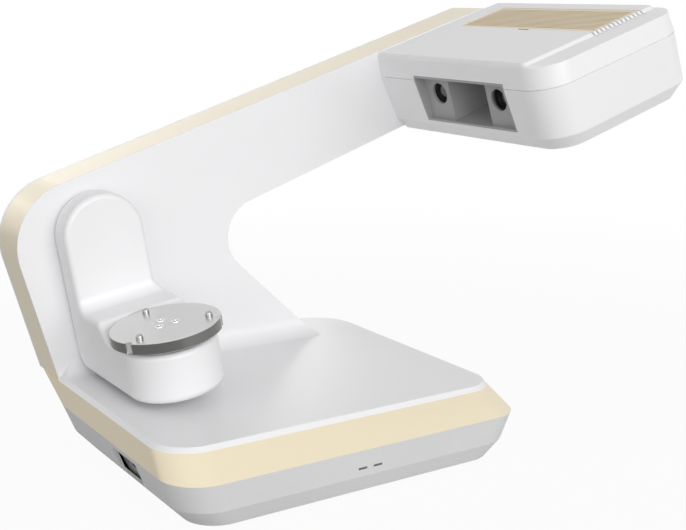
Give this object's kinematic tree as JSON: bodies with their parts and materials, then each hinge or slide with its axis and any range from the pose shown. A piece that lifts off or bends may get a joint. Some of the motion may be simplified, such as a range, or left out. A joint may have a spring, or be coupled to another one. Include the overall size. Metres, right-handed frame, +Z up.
{
  "type": "desktop 3d scanner",
  "caption": "Desktop dental-model 3d scanner: C-shaped white body on a tapered base, tilting swing arm with a spinning turntable, and a tilted scan head with projector and cameras.",
  "frame": {"origin": "centre of the bounding box on the plane the feet stand on", "axes": "+X from the spine toward the scan head, +Y to the rear, away from the turntable, +Z up"},
  "size_m": [0.434, 0.235, 0.3005],
  "materials": {
    "white_shell": "satin moulded white",
    "tray_plastic": "fine satin, pale grey",
    "gold_trim": "champagne metallic lacquer",
    "grille_gold": "satin champagne",
    "grey_bezel": "matte grey",
    "dark_plastic": "matte mid grey",
    "black_plastic": "matte black",
    "port_metal": "plated sheet",
    "light_guide": "smoked light guide, unlit",
    "foot_rubber": "matte",
    "steel_sheet": "zinc-plated sheet",
    "shaft_steel": "ground",
    "disc_steel": "turned and brushed",
    "chrome": "polished",
    "alloy": "milled",
    "brass_gear": "machined",
    "gear_nylon": "natural",
    "circuit_board": "solder mask",
    "lens_glass": "coated lens"
  },
  "bodies": {
    "scanner_body": {"rubber_feet": "foot_rubber", "base_pan": "tray_plastic", "base_band": "gold_trim", "front_shell": "white_shell", "arm_ribbon": "gold_trim", "back_shell": "white_shell", "status_lights": "light_guide", "connector_panel": "dark_plastic", "power_jack": "dark_plastic", "data_port": "port_metal", "switch_housing": "dark_plastic", "chassis_plate": "steel_sheet", "main_board": "circuit_board", "power_module": "steel_sheet", "spine_frame": "steel_sheet", "arm_spar": "alloy", "swing_bearing": "alloy", "swing_motor": "steel_sheet", "head_bracket": "alloy", "optical_bench": "alloy", "head_lower": "white_shell", "head_cover": "white_shell", "head_grille": "grille_gold", "sensor_bezel": "grey_bezel", "camera_left": "black_plastic", "camera_right": "black_plastic", "lens_left": "lens_glass", "lens_right": "lens_glass", "projector_body": "black_plastic", "projector_lens": "lens_glass", "heat_sink": "alloy", "head_board": "circuit_board", "fan_frame": "black_plastic"},
    "swing_arm": {"arm_shell": "white_shell", "arm_cover": "white_shell", "arm_chassis": "alloy", "swing_shaft": "shaft_steel", "swing_gear": "gear_nylon", "table_bearing": "brass_gear", "table_motor": "steel_sheet"},
    "turntable": {"turntable_disc": "disc_steel", "table_hub": "alloy", "table_gear": "gear_nylon", "locating_studs": "chrome", "disc_screws": "chrome"},
    "swing_drive": {"swing_pinion": "brass_gear"},
    "table_drive": {"table_pinion": "brass_gear"},
    "fan_wheel": {"fan_rotor": "black_plastic"},
    "power_switch": {"power_rocker": "dark_plastic"}
  },
  "joints": [
    {"name": "arm_swing", "type": "hinge", "parent": "scanner_body", "child": "swing_arm", "pos_m": [-0.16257, 0.0775, 0.1497], "axis": [0, 1, 0], "range_deg": [-20, 60]},
    {"name": "table_spin", "type": "hinge", "parent": "swing_arm", "child": "turntable", "pos_m": [-0.1518, -0.0095, 0.10281], "axis": [-0.1564, 0, 0.9877], "continuous": true},
    {"name": "swing_drive_spin", "type": "hinge", "parent": "scanner_body", "child": "swing_drive", "pos_m": [-0.12648, 0.1025, 0.16283], "axis": [0, 1, 0], "range_deg": [-215, 72]},
    {"name": "table_drive_spin", "type": "hinge", "parent": "swing_arm", "child": "table_drive", "pos_m": [-0.14898, 0.0209, 0.08503], "axis": [-0.1564, 0, 0.9877], "continuous": true},
    {"name": "fan_spin", "type": "hinge", "parent": "scanner_body", "child": "fan_wheel", "pos_m": [0.16058, 0.0255, 0.281], "axis": [-0.299, 0, 0.9542], "continuous": true},
    {"name": "power_toggle", "type": "hinge", "parent": "scanner_body", "child": "power_switch", "pos_m": [-0.18482, -0.0475, 0.02383], "axis": [0, -1, 0], "range_deg": [0, 20]}
  ],
  "couplings": [
    {"joint": "swing_drive_spin", "follows": "arm_swing", "ratio": -3.5714},
    {"joint": "table_drive_spin", "follows": "table_spin", "ratio": -4.4286}
  ]
}
